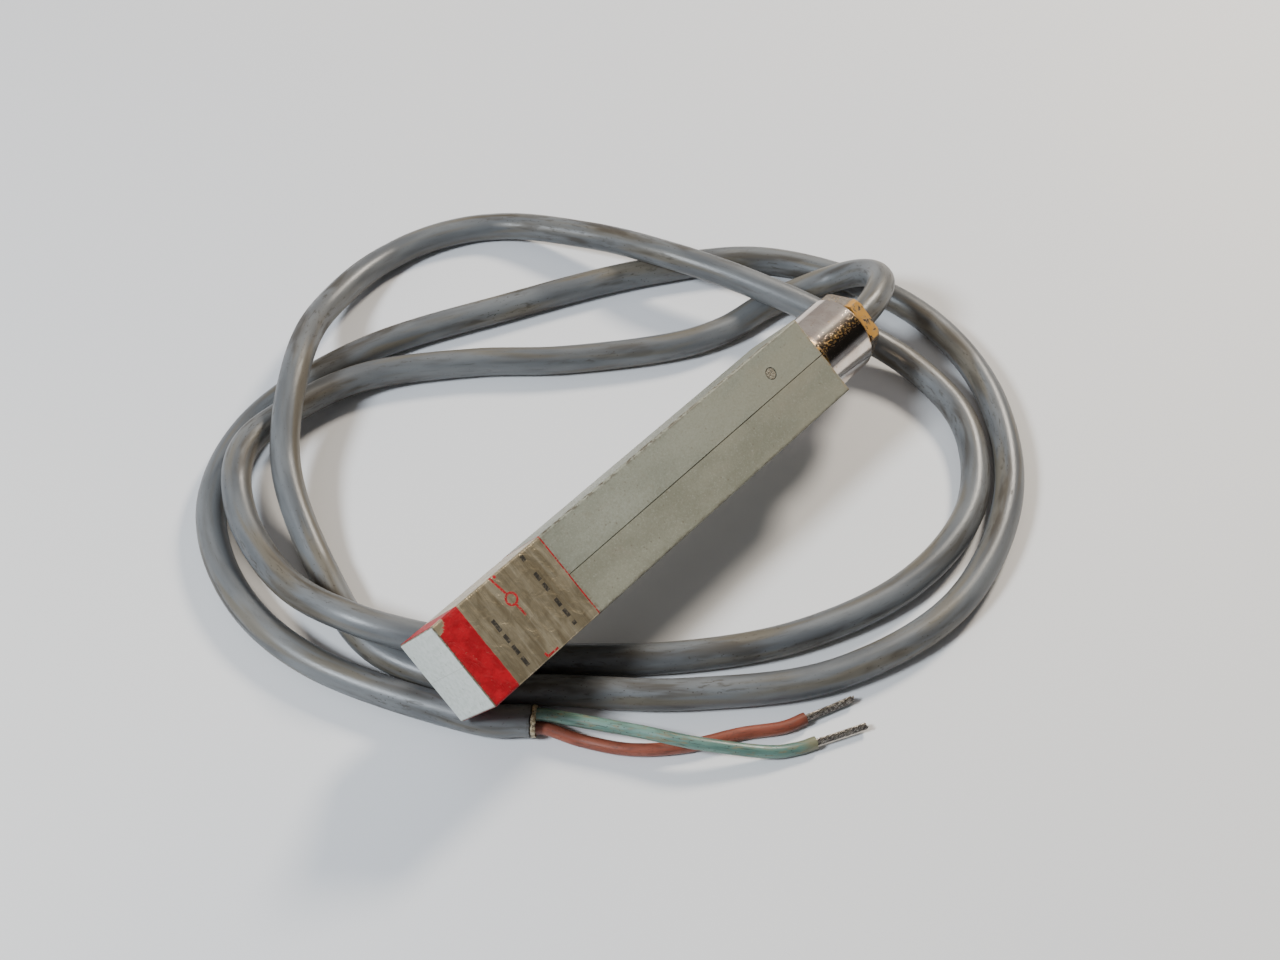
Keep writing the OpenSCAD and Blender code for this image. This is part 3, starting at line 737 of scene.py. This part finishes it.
def casing_material(name, shade):
    """Grey-green moulded plastic, worn and soiled by years of use."""
    m = Material(name, "level")
    m.set("Specular IOR Level", 0.45)
    cloud = m.noise((0.05, 0.12, 0.12), 3)
    mottled = m.noise(0.9, 4, 0.65)
    speck = m.range(m.noise((0.6, 1.3, 1.3), 4, 0.7, offset=(1, 9, 2)), 0.47, 0.58)
    base = casing_plastic(m, shade, cloud, mottled)
    base = casing_seams(m, base, mottled)
    base = casing_edges(m, base, speck)
    base = casing_dirt(m, base, cloud, mottled, speck)
    m.set("Base Color", base)
    m.set("Roughness", m.range(mottled, 0.35, 0.65, 0.36, 0.52))
    scratch = m.noise((0.4, 5.0, 5.0), 3, 0.6, offset=(2, 2, 2))
    height = m.math("ADD", m.product(m.noise(5.0, 3), 0.5), m.product(scratch, 0.5))
    m.bump(height, 0.00003, 0.6)
    return m.mat


# Rows of plain dark dashes where the label is printed: the place along the bar, then each dash's ends
DASH_ROWS = (
    (9.7, ((-7.3, -5.4), (-4.7, -2.8), (-2.1, -0.4), (0.4, 2.9))),
    (21.8, ((-7.4, -6.6), (-5.6, -3.9), (-3.2, -1.5), (0.3, 2.0), (2.7, 4.4), (7.1, 8.3))),
)
# The straight lines of the switch symbol and of the corner mark: start, end and width
RED_LINES = (
    ((14.2, 9.2), (15.0, 4.6), 0.46),
    ((15.2, 2.45), (15.4, -0.3), 0.46),
    ((13.6, -7.6), (13.75, -8.5), 0.5),
    ((13.6, -8.45), (16.3, -8.45), 0.45),
)


def foil_colour(m, grain):
    """Bare foil, in broad tones, painted light and dark reflection stripes, and the fine lines of its
    grain, all across the bar.
    """
    painted_reflection_bands = m.noise((0.9, 0.08, 0.08), 3, 0.6, offset=(2, 5, 1), distort=0.5)
    patch = m.noise((0.3, 0.1, 0.1), 3, 0.6, offset=(4, 1, 0), distort=0.6)
    base = m.mix(m.range(patch, 0.36, 0.64), srgb(154, 140, 113), srgb(188, 174, 145))
    # Painted reflection: lighter and darker stripes stand in for the foil's highlights and dark
    # reflections.
    base = m.mix(m.range(painted_reflection_bands, 0.5, 0.75, 0.0, 0.5), base, srgb(220, 208, 180))
    base = m.mix(m.range(painted_reflection_bands, 0.5, 0.3, 0.0, 0.35), base, srgb(110, 95, 70))
    return m.mix(m.range(grain, 0.4, 0.7, 0.0, 0.22), base, srgb(122, 106, 80))


def dashes(m):
    """1 on the dashes of every row."""
    rows = []
    for x, ends in DASH_ROWS:
        row = m.most(*[m.window(m.y, y0, y1, 0.06) for y0, y1 in ends])
        rows.append(m.product(row, m.window(m.x, x - 0.42, x + 0.42, 0.07)))
    return m.most(*rows)


def red_print(m, on_top):
    """1 on the front band, the thin rear line, the switch symbol and the corner mark."""
    wave = m.product(m.math("SUBTRACT", m.noise(0.8, 2), 0.5), 0.25)
    band = m.range(m.math("ADD", m.x, wave), 6.14, 6.02)
    rear = m.range(m.math("ADD", m.x, m.product(wave, 0.5)), 26.66, 26.74)
    circle = m.range(m.math("ABSOLUTE", m.math("SUBTRACT", m.distance(15.15, 3.55), 1.1)), 0.28, 0.18)
    dot = m.range(m.distance(15.2, 8.5), 0.4, 0.25)
    signs = m.most(circle, dot, *[m.line(a, b, width) for a, b, width in RED_LINES])
    worn = m.range(m.noise(3.2, 3, 0.65, offset=(1, 6, 3)), 0.34, 0.46, 0.35, 1.0)
    return m.most(band, m.product(rear, worn), m.product(signs, on_top, worn))


def torn_corner(m):
    """1 where the band's front left corner is torn off, along a ragged slanting edge."""
    ragged = m.product(m.math("SUBTRACT", m.noise(1.1, 3, 0.6, offset=(3, 3, 3)), 0.5), 3.0)
    from_left = m.math("SUBTRACT", CASING_HALF, m.y)
    edge = m.math("ADD", m.math("SUBTRACT", from_left, m.product(m.x, -0.6)), ragged)
    return m.product(m.range(edge, 2.6, 2.3), m.range(m.z, 7.8, 8.4), m.range(m.x, 2.6, 2.2))


def label_grime(m):
    """1 on dirt at the label's two ends, along its long edges and in fine specks."""
    ends = m.most(m.range(m.x, 0.85, 0.4), m.range(m.x, 26.5, 26.9))
    near = m.math("MINIMUM", m.math("ABSOLUTE", m.y), m.math("ABSOLUTE", m.z))
    edges = m.product(m.range(near, 8.3, 8.95), 0.8)
    speck = m.range(m.noise(2.4, 4, 0.7, offset=(4, 4, 9)), 0.52, 0.62)
    fine = m.product(m.range(m.spots(1.2, offset=(5, 2, 2)), 0.12, 0.07), 0.5)
    return m.most(m.product(m.most(ends, edges), speck), fine)


def label_material():
    """Brushed foil with dark and red print, worn, torn and soiled."""
    m = Material("mat_foil_label", "level")
    m.set("Specular IOR Level", 0.3)
    on_top = m.range(m.z, 8.6, 8.8)
    grain = m.noise((7.0, 0.25, 0.25), 3, 0.6)
    base = foil_colour(m, grain)

    faded = m.range(m.noise(2.6, 3, 0.6, offset=(6, 6, 6)), 0.36, 0.5, 0.8, 1.0)
    ink = m.product(dashes(m), on_top, faded)
    base = m.mix(m.product(ink, 0.96), base, srgb(24, 22, 21))

    torn = torn_corner(m)
    scuff = m.range(m.noise(1.5, 4, 0.7, offset=(3, 1, 7)), 0.64, 0.72)
    bare = m.most(torn, m.product(scuff, m.range(m.x, 6.6, 4.8, 0.25, 0.55)))
    red = m.product(red_print(m, on_top), m.math("SUBTRACT", 1.0, bare))
    red_tone = m.mix(m.range(m.noise(0.5, 3), 0.35, 0.65), srgb(138, 0, 16), srgb(160, 2, 22))
    base = m.mix(red, base, red_tone)
    base = m.mix(m.product(torn, 0.75), base, srgb(196, 180, 146))

    grime = label_grime(m)
    base = m.mix(m.product(grime, 0.8), base, srgb(58, 48, 38))
    m.set("Base Color", base)
    covered = m.most(red, ink, grime)
    m.set("Metallic", m.range(covered, 0.0, 1.0, 0.75, 0.0))
    m.set("Roughness", m.range(covered, 0.0, 1.0, 0.34, 0.5))
    wrinkle = m.noise((0.5, 0.35, 0.35), 4, 0.55, distort=0.9)
    height = m.math("ADD", m.product(grain, 0.15), m.product(wrinkle, 2.4))
    m.bump(height, 0.00009, 0.9)
    return m.mat


def nickel_material(name):
    """Nickel plate, worn through to brass in fine specks along the top, and along the rear rim."""
    m = Material(name, "level", Metallic=1.0)
    tone = m.noise((0.4, 0.3, 0.3), 3)
    base = m.mix(m.range(tone, 0.35, 0.65), srgb(214, 200, 190), srgb(228, 218, 208))
    top = m.product(m.window(m.y, -0.6, 2.0, 1.0), m.range(m.z, 4.0, 6.0))
    speck = m.range(m.noise((2.6, 2.6, 2.6), 4, 0.75, offset=(7, 1, 1)), 0.54, 0.6)
    at_rim = m.range(m.x, BARREL_END - 1.0, BARREL_END - 0.4)
    rim = m.product(at_rim, m.window(m.y, -5.0, 2.4, 0.6), m.range(m.z, 2.0, 5.0))
    rim = m.product(rim, m.range(m.noise(1.3, 3, 0.6), 0.36, 0.5))
    joint = m.product(m.range(m.x, CASING_L + 1.8, CASING_L + 0.4), m.window(m.y, -4.0, 6.0, 1.5))
    glue = m.product(joint, m.range(m.noise((0.9, 0.6, 0.6), 4, 0.6, offset=(5, 5, 5)), 0.42, 0.52))
    stray = m.product(m.range(m.noise((1.3, 1.3, 1.3), 4, 0.7, offset=(3, 4, 8)), 0.62, 0.7), 0.6)
    worn = m.most(m.product(top, speck), rim, glue, stray)
    base = m.mix(worn, base, srgb(182, 140, 68))
    soil = m.range(m.noise((0.9, 1.4, 1.4), 4, 0.7, offset=(1, 1, 8)), 0.66, 0.74)
    base = m.mix(m.product(soil, 0.6), base, srgb(86, 70, 52))
    m.set("Base Color", base)
    m.set("Roughness", m.range(worn, 0.0, 1.0, 0.12, 0.34))
    m.bump(m.math("ADD", m.noise((0.7, 6.0, 6.0), 3), m.product(worn, 0.8)), 0.00002, 0.3)
    return m.mat


def screw_material():
    """Brass under worn plating, rubbed bright on the top flat and soiled in places, with painted shade on
    the threaded part in the gap ahead of the head.
    """
    m = Material("mat_pressure_screw", "level", Metallic=0.9)
    tone = m.noise((0.8, 0.6, 0.6), 3)
    base = m.mix(m.range(tone, 0.35, 0.65), srgb(186, 172, 156), srgb(214, 202, 186))
    top = m.range(m.z, 5.6, 6.6)
    rub = m.range(m.noise((1.2, 0.7, 0.7), 4, 0.65, offset=(3, 2, 6)), 0.36, 0.5)
    spot = m.range(m.noise((1.8, 1.8, 1.8), 4, 0.7), 0.6, 0.68)
    worn = m.most(m.product(top, rub), spot)
    base = m.mix(worn, base, srgb(224, 172, 92))
    soil = m.range(m.noise((1.4, 1.8, 1.8), 4, 0.7, offset=(9, 1, 8)), 0.58, 0.68)
    soil = m.product(soil, m.range(m.z, 6.6, 5.6, 0.12, 1.0))
    # Painted shade: the threaded part in the gap ahead of the head is coloured darkest, where shade
    # falls.
    painted_gap_shade = m.range(m.x, HEAD_AT + 0.02, HEAD_AT - 0.04, 0.0, 1.3)  # over 1, to stay the darkest
    soil = m.most(soil, painted_gap_shade)
    # From here on soil holds both the dirt and the painted shade in the gap.
    base = m.mix(m.product(soil, 0.75), base, srgb(70, 56, 42))
    m.set("Base Color", base)
    m.set("Roughness", m.range(m.most(worn, soil), 0.0, 1.0, 0.2, 0.55))
    m.bump(m.noise((2.0, 3.0, 3.0), 3), 0.00004, 0.5)
    return m.mat


def plug_material():
    """Rough cast resin, darker round its rim."""
    m = Material("mat_fill_resin", "level", Roughness=0.75)
    tone = m.noise(3.0, 4, 0.7)
    base = m.mix(m.range(tone, 0.35, 0.65), srgb(70, 62, 50), srgb(150, 140, 118))
    pale = m.range(m.noise(5.0, 3, offset=(4, 7, 2)), 0.58, 0.66)
    base = m.mix(pale, base, srgb(188, 182, 160))
    ring = m.range(m.distance(PLUG_X, PLUG_Y), 0.95, 1.2)
    base = m.mix(m.product(ring, 0.8), base, srgb(54, 47, 38))
    m.set("Base Color", base)
    m.bump(m.noise(7.0, 4, 0.7), 0.00012, 0.9)
    return m.mat


def simple_material(name, dark, light, rough, metallic=0.0, scale=0.6):
    """A plain surface between two tones, with fine specks, for what is inside the casing."""
    m = Material(name, "level", Metallic=metallic)
    tone = m.noise(scale, 3)
    base = m.mix(m.range(tone, 0.35, 0.65), dark, light)
    speck = m.range(m.noise(4.0, 3, offset=(6, 2, 4)), 0.62, 0.7)
    base = m.mix(m.product(speck, 0.3), base, dark)
    m.set("Base Color", base)
    m.set("Roughness", m.range(tone, 0.35, 0.65, rough - 0.05, rough + 0.05))
    m.bump(m.noise(4.0, 3), 0.00003, 0.4)
    return m.mat


def glass_material():
    m = simple_material("mat_reed_glass", srgb(190, 222, 205), srgb(214, 236, 224), 0.08)
    shader = m.node_tree.nodes["Principled BSDF"]
    shader.inputs["Transmission Weight"].default_value = 0.9
    shader.inputs["IOR"].default_value = 1.5
    return m


def cover(obj, material):
    """Every material slot of an object gets this material."""
    if not obj.material_slots:
        obj.data.materials.append(material)
    for slot in obj.material_slots:
        slot.material = material


cover(sheath, sheath_material("mat_sheath"))
cover(sheath_end, sheath_material("mat_cut_end", "along", (cable_length + CUT_AT) / MM))
cover(core_green, core_material(
    "mat_core_green", srgb(76, 104, 94), srgb(98, 128, 117), srgb(112, 104, 76), 0.8,
))
cover(core_brown, core_material(
    "mat_core_brown", srgb(118, 60, 44), srgb(138, 76, 58), srgb(84, 46, 34), 0.5,
))
strands = strand_material()
cover(wires_green, strands)
cover(wires_brown, strands)
cover(label, label_material())
cover(plug, plug_material())

steel = simple_material(
    "mat_reed_metal", srgb(150, 150, 148), srgb(190, 190, 186), 0.3, 1.0, (0.2, 2.0, 2.0)
)
contact = simple_material("mat_contact", srgb(120, 120, 126), srgb(160, 160, 166), 0.2, 1.0)
copper = simple_material("mat_tinned_copper", srgb(150, 146, 142), srgb(186, 182, 176), 0.35, 1.0)
shrink = simple_material("mat_shrink_sleeve", srgb(26, 26, 27), srgb(44, 43, 42), 0.55)
silicone = simple_material("mat_cushion", srgb(200, 196, 184), srgb(216, 212, 200), 0.5)
resin = simple_material("mat_potting", srgb(44, 40, 36), srgb(66, 60, 52), 0.35)
rubber = simple_material("mat_seal", srgb(24, 24, 24), srgb(38, 37, 36), 0.6)
brass = simple_material("mat_washer", srgb(176, 134, 66), srgb(206, 166, 92), 0.3, 1.0)
white_wire = simple_material("mat_wire_white", srgb(206, 202, 192), srgb(226, 222, 212), 0.4)
green_wire = simple_material("mat_inner_green", srgb(118, 158, 146), srgb(152, 186, 174), 0.4)
brown_wire = simple_material("mat_inner_brown", srgb(140, 72, 54), srgb(172, 100, 78), 0.4)

NODE_MATERIALS = {
    "casing_left": casing_material("mat_casing_left", (128, 129, 115)),
    "casing_right": casing_material("mat_casing_right", (123, 122, 106)),
    "gland_barrel": nickel_material("mat_gland_barrel"),
    "pressure_screw": screw_material(),
    "sheath_inner": sheath_material("mat_sheath_inner", "level"),
    "gland_seal": rubber,
    "thrust_washer": brass,
    "potting": resin,
    "reed_glass": glass_material(),
    "reed_cushion": silicone,
    "reed_stem_front": steel,
    "reed_stem_rear": steel,
    "reed_blade_front": steel,
    "reed_blade_rear": steel,
    "contact_pad_front": contact,
    "contact_pad_rear": contact,
    "joint_sleeve_front": shrink,
    "joint_sleeve_green": shrink,
    "joint_sleeve_brown": shrink,
    "return_wire": white_wire,
    "return_conductor": copper,
    "inner_core_green": green_wire,
    "inner_core_brown": brown_wire,
    "inner_conductor_green": copper,
    "inner_conductor_brown": copper,
}
for node, material in NODE_MATERIALS.items():
    cover(bpy.data.objects[node], material)


# ---- floor, lights and surroundings ----

MIDDLE = Vector((0.06, 0.02, 0))  # about the middle of the bar and its cable


def make_floor():
    bm = bmesh.new()
    bmesh.ops.create_grid(bm, x_segments=8, y_segments=8, size=3)
    mesh = bpy.data.meshes.new("floor")
    bm.to_mesh(mesh)
    bm.free()
    floor = bpy.data.objects.new("floor", mesh)
    floor.location = (MIDDLE.x, MIDDLE.y, FLOOR_Z)
    scene.collection.objects.link(floor)
    m = Material("mat_floor", "level", Roughness=0.7)
    tone = m.noise(0.004, 2)
    m.set("Base Color", m.mix(m.range(tone, 0.35, 0.65), srgb(210, 211, 214), srgb(216, 215, 214)))
    m.bump(m.noise(1.5, 2), 0.00002, 0.3)
    cover(floor, m.mat)


def area_light(name, direction, elevation, power, colour):
    """A round lamp aimed at the middle, from a direction on the floor and an angle above it."""
    data = bpy.data.lights.new(name, "AREA")
    data.shape = "DISK"
    data.size = 0.2
    data.energy = power
    data.color = colour
    e = math.radians(elevation)
    flat = Vector((direction[0], direction[1], 0)).normalized() * math.cos(e)
    towards = Vector((flat.x, flat.y, math.sin(e)))
    lamp = bpy.data.objects.new(name, data)
    lamp.location = MIDDLE + towards * 0.9
    lamp.rotation_euler = towards.to_track_quat("Z", "Y").to_euler()
    scene.collection.objects.link(lamp)


def make_surroundings(strength):
    """A grey room, brighter high up to one side, with a dark patch that the barrel mirrors."""
    world = bpy.data.worlds.new("surroundings")
    world.use_nodes = True
    scene.world = world
    tree = world.node_tree
    tree.nodes.clear()
    out = tree.nodes.new("ShaderNodeOutputWorld")
    back = tree.nodes.new("ShaderNodeBackground")
    coord = tree.nodes.new("ShaderNodeTexCoord")

    def towards(direction, low, high, curve):
        """0 to 1 as a ray turns towards a direction, between two cosines of the angle to it."""
        dot = tree.nodes.new("ShaderNodeVectorMath")
        dot.operation = "DOT_PRODUCT"
        dot.inputs[1].default_value = direction
        tree.links.new(coord.outputs["Generated"], dot.inputs[0])
        part = tree.nodes.new("ShaderNodeMapRange")
        part.interpolation_type = curve
        part.inputs["From Min"].default_value = low
        part.inputs["From Max"].default_value = high
        tree.links.new(dot.outputs["Value"], part.inputs["Value"])
        return part.outputs[0]

    sky = tree.nodes.new("ShaderNodeMix")
    sky.data_type = "RGBA"
    sky.inputs[6].default_value = (0.6, 0.63, 0.68, 1)
    sky.inputs[7].default_value = (1.5, 1.42, 1.36, 1)
    tree.links.new(towards((0, 0.75, 0.66), 0.1, 0.9, "LINEAR"), sky.inputs[0])

    patched = tree.nodes.new("ShaderNodeMix")
    patched.data_type = "RGBA"
    patched.inputs[7].default_value = (0.03, 0.028, 0.026, 1)
    patch_at = Vector((0.6, -0.48, 0.64)).normalized()
    tree.links.new(towards(patch_at, 0.82, 0.9, "SMOOTHSTEP"), patched.inputs[0])
    tree.links.new(sky.outputs[2], patched.inputs[6])

    tree.links.new(patched.outputs[2], back.inputs["Color"])
    tree.links.new(back.outputs[0], out.inputs["Surface"])
    back.inputs["Strength"].default_value = strength


make_floor()
area_light("lamp_cool", (-0.9, 0.27), 45, 11.0, (0.84, 0.92, 1.0))
area_light("lamp_warm", (1.0, 0.08), 38, 10.0, (1.0, 0.91, 0.78))
make_surroundings(0.36)
